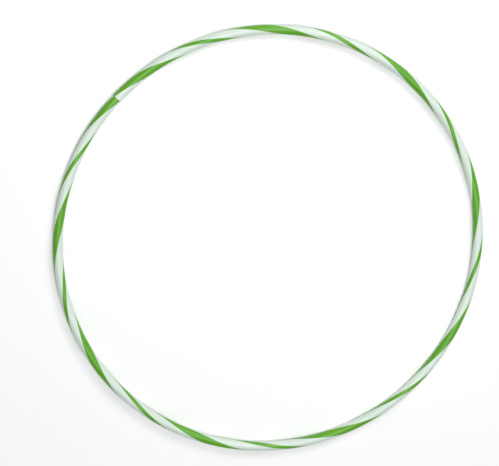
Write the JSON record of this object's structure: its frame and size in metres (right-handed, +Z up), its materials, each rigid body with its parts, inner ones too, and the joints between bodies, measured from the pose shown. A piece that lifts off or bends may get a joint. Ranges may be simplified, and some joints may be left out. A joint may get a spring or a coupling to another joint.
{
  "type": "rhythmic hoop",
  "caption": "Rhythmic gymnastics hoop: a white plastic tube with twisting green stripes, closed into a ring by an inner plug and staples.",
  "frame": {"origin": "on the floor at the centre of the hoop, which lies flat", "axes": "+Z up, square to the plane of the hoop; the seam where the tube's ends meet is at 314.2 degrees clockwise from +Y, seen from above"},
  "size_m": [0.9, 0.8999, 0.02],
  "materials": {
    "white_plastic": "satin extruded polyethylene",
    "green_plastic": "satin extruded polyethylene",
    "plug_plastic": "moulded polyethylene in its natural colour",
    "staple_wire": "bright galvanised wire"
  },
  "bodies": {
    "root": {"tube": "white_plastic", "wide_stripe": "green_plastic", "narrow_stripe": "green_plastic", "joint_plug": "plug_plastic", "staple_before_seam": "staple_wire", "staple_after_seam": "staple_wire"}
  },
  "joints": []
}
